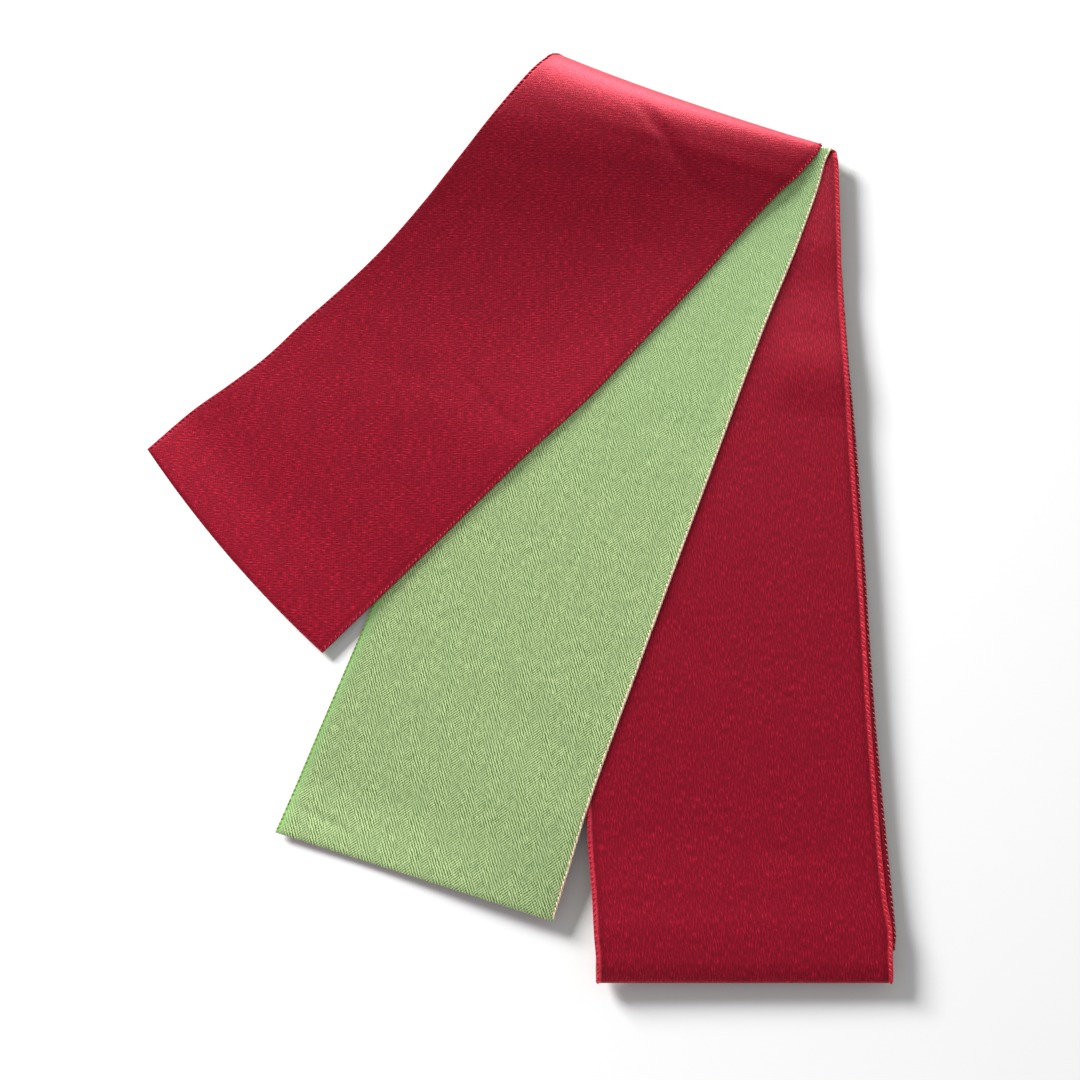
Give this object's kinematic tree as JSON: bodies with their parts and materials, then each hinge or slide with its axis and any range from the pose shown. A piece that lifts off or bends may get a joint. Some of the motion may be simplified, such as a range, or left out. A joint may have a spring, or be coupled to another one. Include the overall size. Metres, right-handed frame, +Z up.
{
  "type": "obi sash",
  "caption": "Reversible half-width obi sash, crimson on one face and green on the other, folded to and fro and laid flat with its end stretches fanned out.",
  "frame": {"origin": "on the table, under the middle of the sash's bounding box", "axes": "+Z up from the table; -Y towards the pile's soft bottom fold; +Y towards the big loop; +X towards the pile, with the fanned end stretches at -X"},
  "size_m": [0.4256, 0.5559, 0.0392],
  "materials": {
    "crimson_cloth": "soft satin sheen",
    "green_cloth": "matt twill"
  },
  "bodies": {
    "root": {"flap": "crimson_cloth", "green_tail": "green_cloth", "front_leaf": "crimson_cloth", "under_leaf": "crimson_cloth", "folded_core": "crimson_cloth"}
  },
  "joints": []
}
